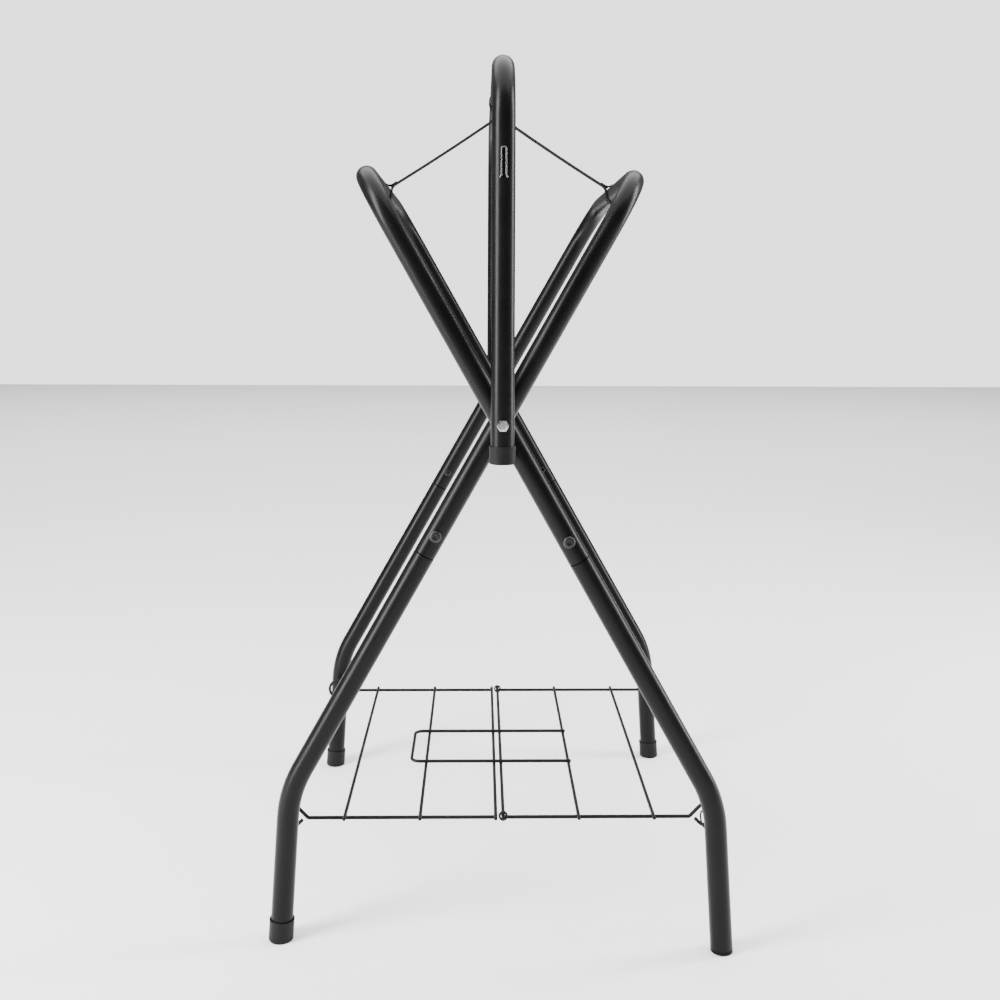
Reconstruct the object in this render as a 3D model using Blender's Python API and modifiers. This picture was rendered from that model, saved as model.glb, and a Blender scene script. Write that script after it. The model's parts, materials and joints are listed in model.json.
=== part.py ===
"""Folding saddle stand: a ridge hoop and two crossed side hoops on one pair of pivot bolts, with
bolted-on lower legs, a wire shelf in two hinged halves, and webbing straps that stop the spread.

X runs to the right, Y from the front end to the rear end, Z up. The origin is on the floor, midway
between the two ends. Metres. The stand is modelled open, on its feet.
"""

from math import acos, atan2, cos, degrees, pi, radians, sin, sqrt

import bmesh
import bpy
from mathutils import Matrix, Vector

MM = 0.001
GAP = 0.3 * MM

# Ridge hoop, an inverted U in the plane X = 0
RIDGE_R = 12.5 * MM
WALL = 1.2 * MM
RIDGE_TOP = 958.5 * MM
RIDGE_LEG_END = 531 * MM
RIDGE_Y = 287.5 * MM
HOOP_BEND = 70 * MM

# Crossed frames. Frame A lies outside frame B at both ends, so that they pass each other
FRAME_R = 12 * MM
FRAME_Y = {"a": 260 * MM, "b": 232 * MM}
LOWER_SIDE = {"a": 1, "b": -1}
PIVOT_Z = 569 * MM
SPREAD = radians(29.44)
RAIL_REACH = 310.5 * MM
SEAM_REACH = 170.3 * MM
LEG_BOLT_REACH = 146 * MM
SPIGOT_LENGTH = 55 * MM
SPIGOT_FIT = 0.87
KNEE_REACH = 469.6 * MM
KNEE_BEND = 118 * MM
FOOT_LEAN = radians(2.97)

# End caps and feet
CAP_R = 13.5 * MM
RIM_R = 13.75 * MM
FOOT_CAP_HEIGHT = 23 * MM
RIDGE_CAP_HEIGHT = 19 * MM
CAP_FLOOR = 3 * MM
FOOT_SINK = 0.8 * MM
PLUG_RIM = 2 * MM
PLUG_PLAY = 0.9 * MM
PLUG_DEPTH = 14 * MM

# Fasteners
PIVOT_BOLT_R = 3.1 * MM
PIVOT_HOLE_R = 3.4 * MM
PIVOT_HEX = 11.1 * MM
PIVOT_HEAD = 4.2 * MM
PIVOT_NUT = 5.5 * MM
SPACER_R = 9 * MM
LEG_BOLT_R = 2.9 * MM
LEG_HOLE_R = 3.2 * MM
BUTTON_R = 6.6 * MM
BUTTON_HEIGHT = 3.2 * MM
SOCKET_R = 2.3 * MM
SOCKET_DEPTH = 1.6 * MM
LEG_NUT_HEX = 9.5 * MM
LEG_NUT = 2.9 * MM

# Wire shelf. Each half hangs by two hooks, each round a wire eye on a lower leg
WIRE_R = 2 * MM
SHELF_Z = 119.4 * MM
CROSS_LIFT = 3.5 * MM
SHELF_Y = 206 * MM
TIP_Y = 219 * MM
INNER_X = 3.2 * MM
CROSS_X = (4.2 * MM, 88.6 * MM, 172.6 * MM)
HINGE_X = 233 * MM
HINGE_Z = 121.5 * MM
HOOK_R = 12 * MM
HOOK_OPENING = radians(45)
HOOK_STUB = 6.5 * MM
EYE_WIRE_R = 1 * MM
EYE_HALF_HEIGHT = 8 * MM
EYE_BOW = 7 * MM
EYE_STANDOFF = 0.9 * MM
EYE_END_Y = {"a": 209.6 * MM, "b": 201 * MM}
COLLAR_R = 5.2 * MM
COLLAR_LENGTH = 5.6 * MM
COLLAR_Y = (-211.2 * MM, 200.8 * MM)
STOP_X = (-107 * MM, 91.6 * MM)
STOP_Y = (-71.6 * MM, 25.8 * MM)
STOP_BEND = 10 * MM

# Webbing and the small wire clip on the front of the ridge hoop
WEB_WIDTH = 22 * MM
WEB_THICK = 1 * MM
NECK_Z = 934 * MM
NECK_HEIGHT = 9 * MM
JUNCTION_REACH = 15.5 * MM
SLACK = 5 * MM
CLIP_WIRE_R = 0.8 * MM
CLIP_Z = (826.5 * MM, 836.6 * MM, 858.8 * MM)
CLIP_HALF = 2.5 * MM
CLIP_FLARE = 3.9 * MM

# Facets, and how far a drill or a floor cut reaches past the piece
RING_STEPS = 12
CAP_STEPS = 20
LOOP_STEPS = 20
EYE_STEPS = 12
BEND_STEP = radians(15)
HOOK_STEP = radians(18)
DRILL = 40 * MM
FLOOR_CUT = 80 * MM


def clear_scene():
    for obj in list(bpy.data.objects):
        bpy.data.objects.remove(obj, do_unlink=True)


clear_scene()
parts = bpy.data.collections.new("folding_saddle_stand")
cutters = bpy.data.collections.new("cutters")
cutters.hide_render = True
bpy.context.scene.collection.children.link(parts)
bpy.context.scene.collection.children.link(cutters)


def make_material(name, color, roughness, metallic=0.0):
    material = bpy.data.materials.new(name)
    material.use_nodes = True
    shader = material.node_tree.nodes["Principled BSDF"]
    shader.inputs["Base Color"].default_value = (*color, 1)
    shader.inputs["Roughness"].default_value = roughness
    shader.inputs["Metallic"].default_value = metallic
    return material


powder_coat = make_material("powder_coat", (0.012, 0.012, 0.013), 0.42)
wire_coat = make_material("wire_coat", (0.014, 0.014, 0.015), 0.38)
cap_plastic = make_material("cap_plastic", (0.016, 0.016, 0.017), 0.5)
webbing = make_material("webbing", (0.01, 0.01, 0.011), 0.85)
zinc = make_material("zinc", (0.55, 0.56, 0.58), 0.3, 1.0)
black_steel = make_material("black_steel", (0.02, 0.02, 0.022), 0.35, 0.7)


def add_object(name, mesh, material, collection=parts):
    obj = bpy.data.objects.new(name, mesh)
    mesh.materials.clear()
    mesh.materials.append(material)
    collection.objects.link(obj)
    return obj


def add_cutter(name, mesh):
    obj = add_object(name, mesh, powder_coat, cutters)
    obj.hide_render = True
    obj.display_type = "WIRE"
    return obj


def smooth(mesh, angle=radians(40)):
    mesh.shade_smooth()
    mesh.set_sharp_from_angle(angle=angle)


def boolean(obj, tool, operation="DIFFERENCE"):
    modifier = obj.modifiers.new(operation.lower(), "BOOLEAN")
    modifier.operation = operation
    modifier.solver = "EXACT"
    modifier.object = tool


def rounded_path(corners, radius):
    """The corners' polyline with each inner corner turned into an arc of the given radius."""
    points = [Vector(corners[0])]
    for before, corner, after in zip(corners, corners[1:], corners[2:]):
        corner = Vector(corner)
        back = (Vector(before) - corner).normalized()
        ahead = (Vector(after) - corner).normalized()
        turn = pi - back.angle(ahead)
        tangent = radius * sin(turn / 2) / cos(turn / 2)
        centre = corner + (back + ahead).normalized() * (radius / cos(turn / 2))
        start = corner + back * tangent - centre
        axis = start.cross(corner + ahead * tangent - centre)
        steps = max(2, round(turn / BEND_STEP))
        for step in range(steps + 1):
            points.append(centre + Matrix.Rotation(turn * step / steps, 3, axis) @ start)
    points.append(Vector(corners[-1]))
    return points


def swept_mesh(name, points, radius, capped=True, sides=8, sizes=None):
    """A round bar or an open tube surface along the points."""
    curve = bpy.data.curves.new(name, "CURVE")
    curve.dimensions = "3D"
    curve.twist_mode = "Z_UP"
    curve.bevel_depth = radius
    curve.bevel_resolution = sides // 2 - 2
    curve.use_fill_caps = capped
    spline = curve.splines.new("POLY")
    spline.points.add(len(points) - 1)
    for index, point in enumerate(points):
        spline.points[index].co = (*point, 1)
        spline.points[index].radius = sizes[index] if sizes else 1
    carrier = bpy.data.objects.new(name, curve)
    bpy.context.scene.collection.objects.link(carrier)
    graph = bpy.context.evaluated_depsgraph_get()
    mesh = bpy.data.meshes.new_from_object(carrier.evaluated_get(graph))
    mesh.transform(carrier.matrix_world)
    bpy.data.objects.remove(carrier, do_unlink=True)
    bpy.data.curves.remove(curve)
    work = bmesh.new()
    work.from_mesh(mesh)
    bmesh.ops.remove_doubles(work, verts=work.verts, dist=1e-6)
    bmesh.ops.recalc_face_normals(work, faces=work.faces)
    work.to_mesh(mesh)
    work.free()
    mesh.name = name
    smooth(mesh)
    return mesh


def tube(name, points, radius, sizes=None):
    """A hollow tube with open ends."""
    mesh = swept_mesh(name, points, radius, capped=False, sides=RING_STEPS, sizes=sizes)
    obj = add_object(name, mesh, powder_coat)
    wall = obj.modifiers.new("wall", "SOLIDIFY")
    wall.thickness = WALL
    wall.offset = -1
    return obj


def rod_mesh(name, radius, low, high, steps=RING_STEPS, turn=0.0):
    """A prism or cylinder along Y from low to high."""
    work = bmesh.new()
    bmesh.ops.create_cone(
        work, cap_ends=True, segments=steps, radius1=radius, radius2=radius, depth=high - low
    )
    spin = Matrix.Rotation(turn, 4, "Z")
    lay = Matrix.Rotation(-pi / 2, 4, "X")
    bmesh.ops.transform(
        work, matrix=Matrix.Translation((0, (low + high) / 2, 0)) @ lay @ spin, verts=work.verts
    )
    mesh = bpy.data.meshes.new(name)
    work.to_mesh(mesh)
    work.free()
    return mesh


def turned(name, profile, material, steps=RING_STEPS):
    """A solid turned about its own Z axis, from (radius, height) pairs run top to bottom."""
    work = bmesh.new()
    verts = [work.verts.new((radius, 0, height)) for radius, height in profile]
    for first, second in zip(verts, verts[1:]):
        work.edges.new((first, second))
    mesh = bpy.data.meshes.new(name)
    work.to_mesh(mesh)
    work.free()
    obj = add_object(name, mesh, material)
    screw = obj.modifiers.new("turn", "SCREW")
    screw.angle = 2 * pi
    screw.steps = steps
    screw.render_steps = steps
    screw.use_merge_vertices = True
    screw.merge_threshold = 1e-6
    screw.use_smooth_shade = True
    return obj


def along_leg(frame, reach, y):
    """A point on a frame's straight leg line, reach below the pivot (above it when negative)."""
    side = LOWER_SIDE[frame]
    return Vector((side * reach * sin(SPREAD), y, PIVOT_Z - reach * cos(SPREAD)))


def frame_holder(name, location):
    """An empty on a joint's axis, which carries the pieces that turn about it."""
    holder = bpy.data.objects.new(name, None)
    holder.location = location
    parts.objects.link(holder)
    return holder


def hang_on(holder, obj):
    """Parents the object without moving it."""
    obj.parent = holder
    obj.matrix_parent_inverse = Matrix.Translation(holder.location).inverted()


def drill(obj, radius, centre, length):
    """A round hole along Y."""
    mesh = rod_mesh(obj.name + "_hole", radius, -length / 2, length / 2)
    mesh.transform(Matrix.Translation(centre))
    boolean(obj, add_cutter(f"{obj.name}_hole_{len(obj.modifiers)}", mesh))


ENDS = {"front": -1, "rear": 1}
pivot = frame_holder("pivot_axis", (0, 0, PIVOT_Z))
hinge_axis = {
    frame: frame_holder(f"shelf_axis_{frame}", (LOWER_SIDE[frame] * HINGE_X, 0, HINGE_Z))
    for frame in "ab"
}


# ---------------------------------------------------------------- ridge hoop
def make_ridge_hoop():
    path = rounded_path(
        [
            (0, -RIDGE_Y, RIDGE_LEG_END),
            (0, -RIDGE_Y, RIDGE_TOP),
            (0, RIDGE_Y, RIDGE_TOP),
            (0, RIDGE_Y, RIDGE_LEG_END),
        ],
        HOOP_BEND,
    )
    hoop = tube("ridge_hoop", path, RIDGE_R)
    for end in ENDS.values():
        drill(hoop, PIVOT_HOLE_R, (0, end * RIDGE_Y, PIVOT_Z), DRILL)


def cap_profile(bore_r, height):
    """A closed-bottom cap with a rolled top rim, standing on z = 0."""
    rim = RIM_R - CAP_R
    return [
        (bore_r, height - 0.5 * MM),
        (bore_r + 0.4 * MM, height),
        (CAP_R - 0.2 * MM, height),
        (RIM_R, height - 3 * rim),
        (CAP_R, height - 7 * rim),
        (CAP_R, 1.5 * MM),
        (CAP_R - 1.5 * MM, 0),
        (0, 0),
    ]


def cap_inside(bore_r):
    return [(0, CAP_FLOOR), (bore_r, CAP_FLOOR)]


def make_ridge_caps():
    bore_r = RIDGE_R + GAP
    wider = RIDGE_R - FRAME_R
    for end_name, end in ENDS.items():
        profile = [(r + wider if r > bore_r - GAP - wider else r, z) for r, z in cap_profile(
            bore_r - wider, RIDGE_CAP_HEIGHT
        )]
        cap = turned(f"hoop_cap_{end_name}", cap_inside(bore_r) + profile, cap_plastic, CAP_STEPS)
        cap.location = (0, end * RIDGE_Y, RIDGE_LEG_END - CAP_FLOOR - GAP)


# ---------------------------------------------------------------- pivot hardware
def make_pivot_hardware():
    head_far = FRAME_Y["b"] - FRAME_R - GAP
    nut_near = RIDGE_Y + RIDGE_R + GAP
    bolt_end = nut_near + PIVOT_NUT - 0.6 * MM
    flats_up = pi / 6
    for end_name, end in ENDS.items():
        span = sorted((end * (head_far - PIVOT_HEAD / 2), end * bolt_end))
        bolt = add_object(
            f"pivot_bolt_{end_name}", rod_mesh("shank", PIVOT_BOLT_R, *span, steps=12), zinc
        )
        bolt.location = (0, 0, PIVOT_Z)
        span = sorted((end * head_far, end * (head_far - PIVOT_HEAD)))
        corner_r = PIVOT_HEX / sqrt(3)
        head = add_cutter(
            f"pivot_head_{end_name}", rod_mesh("head", corner_r, *span, steps=6, turn=flats_up)
        )
        head.location = bolt.location
        boolean(bolt, head, "UNION")
        span = sorted((end * nut_near, end * (nut_near + PIVOT_NUT)))
        nut = add_object(
            f"pivot_nut_{end_name}", rod_mesh("nut", corner_r, *span, steps=6, turn=flats_up), zinc
        )
        nut.location = bolt.location
        drill(nut, PIVOT_HOLE_R, (0, end * nut_near, PIVOT_Z), DRILL)
        layers = (
            ("outer", RIDGE_Y - RIDGE_R, FRAME_Y["a"] + FRAME_R),
            ("inner", FRAME_Y["a"] - FRAME_R, FRAME_Y["b"] + FRAME_R),
        )
        for layer, far, near in layers:
            span = sorted((end * (far - GAP), end * (near + GAP)))
            spacer = add_object(
                f"spacer_{layer}_{end_name}", rod_mesh("spacer", SPACER_R, *span), cap_plastic
            )
            spacer.location = bolt.location
            drill(spacer, PIVOT_HOLE_R, (0, end * near, PIVOT_Z), DRILL)


# ---------------------------------------------------------------- crossed frames
def make_upper_hoop(frame):
    y = FRAME_Y[frame]
    path = rounded_path(
        [
            along_leg(frame, SEAM_REACH, -y),
            along_leg(frame, -RAIL_REACH, -y),
            along_leg(frame, -RAIL_REACH, y),
            along_leg(frame, SEAM_REACH, y),
        ],
        HOOP_BEND,
    )
    hoop = tube(f"upper_hoop_{frame}", path, FRAME_R)
    for end in ENDS.values():
        drill(hoop, PIVOT_HOLE_R, (0, end * y, PIVOT_Z), DRILL)
        drill(hoop, LEG_HOLE_R, along_leg(frame, LEG_BOLT_REACH, end * y), DRILL)
    hang_on(pivot, hoop)


def foot_point(frame, y, height):
    """A point on the lower leg's centre line, below the knee, at the given height."""
    knee = along_leg(frame, KNEE_REACH, y)
    drop = knee.z - height
    return knee + Vector((LOWER_SIDE[frame] * drop * sin(FOOT_LEAN) / cos(FOOT_LEAN), 0, -drop))


def make_lower_leg(frame, end_name):
    y = ENDS[end_name] * FRAME_Y[frame]
    shoulder = 1.2 * MM
    bare = frame == "a" and end_name == "front"
    end_height = PLUG_RIM + GAP if bare else CAP_FLOOR + GAP - FOOT_SINK
    bend = rounded_path(
        [
            along_leg(frame, SEAM_REACH + GAP + shoulder, y),
            along_leg(frame, KNEE_REACH, y),
            foot_point(frame, y, end_height),
        ],
        KNEE_BEND,
    )
    spigot = [
        along_leg(frame, SEAM_REACH - SPIGOT_LENGTH, y),
        along_leg(frame, SEAM_REACH + GAP, y),
    ]
    sizes = [SPIGOT_FIT, SPIGOT_FIT] + [1] * len(bend)
    leg = tube(f"lower_leg_{frame}_{end_name}", spigot + bend, FRAME_R, sizes)
    drill(leg, LEG_HOLE_R, along_leg(frame, LEG_BOLT_REACH, y), DRILL)
    hang_on(pivot, leg)


def make_foot(frame, end_name):
    side = LOWER_SIDE[frame]
    y = ENDS[end_name] * FRAME_Y[frame]
    sunk = 2 * MM
    bare = frame == "a" and end_name == "front"
    if bare:
        hole_r = FRAME_R - WALL - PLUG_PLAY
        profile = [
            (0, PLUG_DEPTH), (hole_r - MM, PLUG_DEPTH), (hole_r, PLUG_DEPTH - MM),
            (hole_r, PLUG_RIM), (FRAME_R, PLUG_RIM), (FRAME_R, -sunk), (0, -sunk),
        ]
        foot = turned(f"foot_plug_{frame}_{end_name}", profile, cap_plastic, CAP_STEPS)
        height = 0
    else:
        profile = cap_inside(FRAME_R + GAP) + cap_profile(FRAME_R + GAP, FOOT_CAP_HEIGHT)
        height = -FOOT_SINK
        foot = turned(f"foot_cap_{frame}_{end_name}", profile, cap_plastic, CAP_STEPS)
    foot.location = foot_point(frame, y, height)
    foot.rotation_euler = (0, -side * FOOT_LEAN, 0)
    work = bmesh.new()
    bmesh.ops.create_cube(work, size=FLOOR_CUT)
    bmesh.ops.translate(work, verts=work.verts, vec=(*foot.location.xy, -FLOOR_CUT / 2))
    mesh = bpy.data.meshes.new("below_floor")
    work.to_mesh(mesh)
    work.free()
    boolean(foot, add_cutter(f"{foot.name}_floor", mesh))
    hang_on(pivot, foot)


def make_leg_fasteners(frame, end_name):
    """A button-head bolt through the upper hoop and the spigot, and its nut on the inner side."""
    end = ENDS[end_name]
    centre = along_leg(frame, LEG_BOLT_REACH, 0)
    seat = FRAME_Y[frame] + FRAME_R + GAP
    inner = FRAME_Y[frame] - FRAME_R - GAP
    profile = [
        (0, BUTTON_HEIGHT), (BUTTON_R * 0.6, BUTTON_HEIGHT), (BUTTON_R * 0.88, BUTTON_HEIGHT * 0.65),
        (BUTTON_R, 0.25 * BUTTON_HEIGHT), (BUTTON_R, 0), (LEG_BOLT_R, 0),
        (LEG_BOLT_R, inner - LEG_NUT - seat), (0, inner - LEG_NUT - seat),
    ]
    bolt = turned(f"leg_bolt_{frame}_{end_name}", profile, black_steel)
    bolt.location = (centre.x, end * seat, centre.z)
    bolt.rotation_euler = (-end * pi / 2, 0, 0)
    top = seat + BUTTON_HEIGHT
    span = sorted((end * (top - SOCKET_DEPTH), end * (top + MM)))
    socket = add_cutter(f"{bolt.name}_socket", rod_mesh("socket", SOCKET_R, *span, steps=6))
    socket.location = centre
    boolean(bolt, socket)
    span = sorted((end * inner, end * (inner - LEG_NUT)))
    nut = add_object(
        f"leg_nut_{frame}_{end_name}",
        rod_mesh("nut", LEG_NUT_HEX / sqrt(3), *span, steps=6, turn=pi / 6),
        black_steel,
    )
    nut.location = centre
    mesh = rod_mesh("nut_hole", LEG_HOLE_R, *sorted((end * (inner - 9 * MM), end * (inner + 9 * MM))))
    mesh.transform(Matrix.Translation(centre))
    boolean(nut, add_cutter(f"{nut.name}_bore", mesh))
    hang_on(pivot, bolt)
    hang_on(pivot, nut)


def make_eye(frame, end_name):
    """A D-shaped wire arch on a lower leg's inner face, which a shelf hook goes round."""
    side = LOWER_SIDE[frame]
    end = ENDS[end_name]
    root_y = FRAME_Y[frame] - FRAME_R - EYE_STANDOFF
    reach = root_y - EYE_END_Y[frame]
    path = []
    for step in range(EYE_STEPS + 1):
        turn = pi * step / EYE_STEPS
        x = HINGE_X - EYE_BOW * sin(turn)
        y = root_y - reach * sin(turn)
        path.append((side * x, end * y, HINGE_Z - EYE_HALF_HEIGHT * cos(turn)))
    name = f"shelf_eye_{frame}_{end_name}"
    hang_on(pivot, add_object(name, swept_mesh(name, path, EYE_WIRE_R), wire_coat))


# ---------------------------------------------------------------- wire shelf
def end_wire_path(side, y):
    """From the middle out to the corner, up at an angle and round the hinge axis as a hook."""
    rise = HINGE_Z + HOOK_R * sin(HOOK_OPENING) - SHELF_Z
    corner_x = HINGE_X - HOOK_R * cos(HOOK_OPENING) - rise
    start = HINGE_X - HOOK_R * cos(HOOK_OPENING)
    path = rounded_path(
        [
            (side * INNER_X, y, SHELF_Z),
            (side * corner_x, y, SHELF_Z),
            (side * start, y, HINGE_Z + HOOK_R * sin(HOOK_OPENING)),
        ],
        4 * MM,
    )
    sweep = 2 * pi - 2 * HOOK_OPENING
    steps = round(sweep / HOOK_STEP)
    for step in range(1, steps + 1):
        turn = HOOK_OPENING + sweep * step / steps
        x = HINGE_X - HOOK_R * cos(turn)
        path.append(Vector((side * x, y, HINGE_Z + HOOK_R * sin(turn))))
    back = Vector((-side * cos(HOOK_OPENING), 0, sin(HOOK_OPENING)))
    path.append(path[-1] + back * HOOK_STUB)
    return path


def make_shelf_half(name, frame):
    """Hooked front and rear wires, with the cross wires laid on top."""
    side = LOWER_SIDE[frame]
    front, rear = (
        swept_mesh(name, end_wire_path(side, end * SHELF_Y), WIRE_R) for end in ENDS.values()
    )
    panel = add_object(name, front, wire_coat)
    boolean(panel, add_cutter(f"{name}_rear_wire", rear), "UNION")
    cross_z = SHELF_Z + CROSS_LIFT
    for number, x in enumerate(CROSS_X):
        run = [(side * x, -TIP_Y, cross_z), (side * x, SHELF_Y, cross_z)]
        boolean(panel, add_cutter(f"{name}_cross_{number}", swept_mesh(name, run, WIRE_R)), "UNION")
    if frame == "a":
        for number, y in enumerate(COLLAR_Y):
            collar = rod_mesh(name, COLLAR_R, y - COLLAR_LENGTH / 2, y + COLLAR_LENGTH / 2)
            collar.transform(Matrix.Translation((CROSS_X[0], 0, cross_z)))
            boolean(panel, add_cutter(f"{name}_collar_{number}", collar), "UNION")
    hang_on(hinge_axis[frame], panel)


def make_stop_loop():
    """A bent wire on top of the right half that reaches over the left half, so it can't sag."""
    z = SHELF_Z + CROSS_LIFT + WIRE_R + GAP + WIRE_R
    path = rounded_path(
        [
            (STOP_X[1], STOP_Y[0], z),
            (STOP_X[0], STOP_Y[0], z),
            (STOP_X[0], STOP_Y[1], z),
            (STOP_X[1], STOP_Y[1], z),
        ],
        STOP_BEND,
    )
    stop = add_object("shelf_stop_loop", swept_mesh("stop", path, WIRE_R), wire_coat)
    hang_on(hinge_axis["a"], stop)


# ---------------------------------------------------------------- webbing
def ribbon(name, path):
    """Webbing: a path in the XZ plane, as wide as the webbing along Y."""
    work = bmesh.new()
    verts = [work.verts.new((x, -WEB_WIDTH / 2, z)) for x, z in path]
    edges = [work.edges.new(pair) for pair in zip(verts, verts[1:])]
    drawn = bmesh.ops.extrude_edge_only(work, edges=edges)["geom"]
    moved = [item for item in drawn if isinstance(item, bmesh.types.BMVert)]
    bmesh.ops.translate(work, verts=moved, vec=(0, WEB_WIDTH, 0))
    mesh = bpy.data.meshes.new(name)
    work.to_mesh(mesh)
    work.free()
    obj = add_object(name, mesh, webbing)
    thick = obj.modifiers.new("thickness", "SOLIDIFY")
    thick.thickness = WEB_THICK
    thick.offset = 0
    thick.use_even_offset = True
    return obj


def arc(centre, radius, start, stop, steps):
    """Points from one angle to the other, in degrees from +X towards +Z."""
    return [
        (
            centre[0] + radius * cos(radians(start + (stop - start) * step / steps)),
            centre[1] + radius * sin(radians(start + (stop - start) * step / steps)),
        )
        for step in range(steps + 1)
    ]


def make_centre_loop():
    """Round the top rail, both ends hanging together as a short neck."""
    half = WEB_THICK / 2 + GAP / 2
    top = NECK_Z + NECK_HEIGHT
    around = arc((0, RIDGE_TOP), RIDGE_R + GAP + WEB_THICK / 2, -97, -443, LOOP_STEPS)
    path = [(-half, NECK_Z), (-half, top)] + around + [(half, top), (half, NECK_Z)]
    ribbon("strap_centre_loop", path)


def make_side_strap(name, frame):
    """From the neck down to a side rail, round it and back to a sewn joint on the run."""
    side = -LOWER_SIDE[frame]
    rail = along_leg(frame, -RAIL_REACH, 0)
    start = Vector((WEB_THICK * 1.5 + GAP * 1.5, NECK_Z + 5 * MM))
    centre = Vector((side * rail.x, rail.z))
    toward = (start - centre).normalized()
    lean = degrees(atan2(toward.y, toward.x))
    ring_r = FRAME_R + GAP + WEB_THICK / 2
    touch = degrees(acos(ring_r / JUNCTION_REACH))
    joint = centre + toward * JUNCTION_REACH
    under = Vector((toward.y, -toward.x)) * (WEB_THICK + 2 * GAP)
    around = []
    for point in arc(centre, ring_r, lean + touch, lean + 360 - touch, LOOP_STEPS):
        out = (Vector(point) - centre).normalized()
        droop = max(0.0, out.dot(Vector((1, -1)).normalized())) ** 3
        around.append(Vector(point) + out * SLACK * droop)
    path = [start, joint] + around + [joint + under - toward * GAP]
    strap = ribbon(name, [(side * x, z) for x, z in path])
    hang_on(pivot, strap)


def make_post_clip():
    """A small bent-wire clip on the front of the ridge hoop: a hairpin with flared feet."""
    face = -RIDGE_Y - RIDGE_R - GAP - CLIP_WIRE_R
    foot, waist, top = CLIP_Z
    legs = [(CLIP_FLARE, foot), (CLIP_HALF * 0.8, waist), (CLIP_HALF, top)]
    corners = [(-x, face, z) for x, z in legs] + [(x, face, z) for x, z in reversed(legs)]
    path = rounded_path(corners, 1.6 * MM)
    add_object("post_clip", swept_mesh("clip", path, CLIP_WIRE_R), wire_coat)


make_ridge_hoop()
make_ridge_caps()
make_pivot_hardware()
for frame_name in "ab":
    make_upper_hoop(frame_name)
    for end_key in ENDS:
        make_lower_leg(frame_name, end_key)
        make_foot(frame_name, end_key)
        make_leg_fasteners(frame_name, end_key)
        make_eye(frame_name, end_key)
make_shelf_half("shelf_left", "b")
make_shelf_half("shelf_right", "a")
make_stop_loop()
make_centre_loop()
make_side_strap("strap_left", "a")
make_side_strap("strap_right", "b")
make_post_clip()
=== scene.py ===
import json
from math import acos, atan2, cos, degrees, pi, radians, sin, tan

import bmesh
import bpy
from mathutils import Matrix, Vector


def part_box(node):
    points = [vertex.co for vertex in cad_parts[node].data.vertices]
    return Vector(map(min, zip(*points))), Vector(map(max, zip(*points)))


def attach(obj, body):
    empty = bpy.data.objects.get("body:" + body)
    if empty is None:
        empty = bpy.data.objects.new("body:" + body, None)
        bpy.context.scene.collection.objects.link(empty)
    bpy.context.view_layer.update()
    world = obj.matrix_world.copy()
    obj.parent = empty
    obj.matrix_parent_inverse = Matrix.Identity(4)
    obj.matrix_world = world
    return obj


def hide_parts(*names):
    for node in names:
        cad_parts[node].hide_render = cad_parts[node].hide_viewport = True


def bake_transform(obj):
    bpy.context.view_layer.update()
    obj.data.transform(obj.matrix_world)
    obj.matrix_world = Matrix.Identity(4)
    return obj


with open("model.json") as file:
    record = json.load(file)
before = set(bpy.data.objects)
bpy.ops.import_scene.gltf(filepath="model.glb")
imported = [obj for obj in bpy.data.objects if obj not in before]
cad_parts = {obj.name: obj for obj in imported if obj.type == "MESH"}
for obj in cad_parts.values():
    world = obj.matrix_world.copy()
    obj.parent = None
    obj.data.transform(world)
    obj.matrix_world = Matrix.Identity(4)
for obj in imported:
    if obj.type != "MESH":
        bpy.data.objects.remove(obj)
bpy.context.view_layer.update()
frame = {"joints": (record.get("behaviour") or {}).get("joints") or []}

mm = 0.001
ends = {"front": -1, "rear": 1}
mergeGap = 0.001 * mm


# noise settings are (scale, detail)
finishes = {
    "powderCoat": {"dark": 0.0018, "light": 0.0032, "rough": (0.29, 0.37), "peel": (900, 1),
                   "bump": 0.035, "shine": 0.13},
    "wireCoat": {"dark": 0.0035, "light": 0.006, "rough": (0.36, 0.48), "peel": (1500, 1),
                 "bump": 0.05, "shine": 0.13},
    "capPlastic": {"dark": 0.004, "light": 0.0065, "rough": (0.45, 0.58), "peel": (2000, 1),
                   "bump": 0.12, "shine": 0.13},
    "blackSteel": {"dark": 0.005, "light": 0.009, "rough": (0.28, 0.4), "peel": (1500, 1),
                   "bump": 0.05, "shine": 0.3},
    "clipSteel": {"dark": 0.02, "light": 0.045, "rough": (0.2, 0.3), "peel": (1500, 1),
                  "bump": 0.05, "shine": 1.0},
    "webbing": {"dark": 0.003, "light": 0.010, "rough": 0.88, "rib": 1.3 * mm, "pick": 0.85 * mm,
                "waver": 0.25, "bump": 0.7, "bumpDepth": 0.3 * mm, "shine": 0.1},
    "thread": {"dark": 0.012, "light": 0.03, "rough": 0.7, "twist": (3000, 1), "bump": 0.4,
               "bumpDepth": 0.1 * mm},
    "zinc": {"dark": 0.34, "light": 0.52, "rough": (0.22, 0.4), "grain": (240, 3),
             "scratch": (1400, 2), "bump": 0.2},
    "floor": {"dark": 0.80, "light": 0.84, "rough": 0.75, "cloud": (0.6, 2)},
    "cloud": (14, 5), "patches": (45, 4), "peelDepth": 0.05 * mm,
    "usual": (0.3, 0.7),  # where most of a noise pattern's values lie
}


def blankMaterial(name):
    made = bpy.data.materials.new(name)
    made.use_nodes = True
    tree = made.node_tree
    return made, tree, tree.nodes["Principled BSDF"]


def addNode(tree, kind, **settings):
    node = tree.nodes.new(kind)
    for key, value in settings.items():
        setattr(node, key, value)
    return node


def ownPlace(tree):
    return addNode(tree, "ShaderNodeTexCoord").outputs["Object"]


def noiseOn(tree, source, scale, detail):
    noise = addNode(tree, "ShaderNodeTexNoise")
    noise.inputs["Scale"].default_value = scale
    noise.inputs["Detail"].default_value = detail
    tree.links.new(source, noise.inputs["Vector"])
    return noise.outputs["Fac"]


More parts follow.
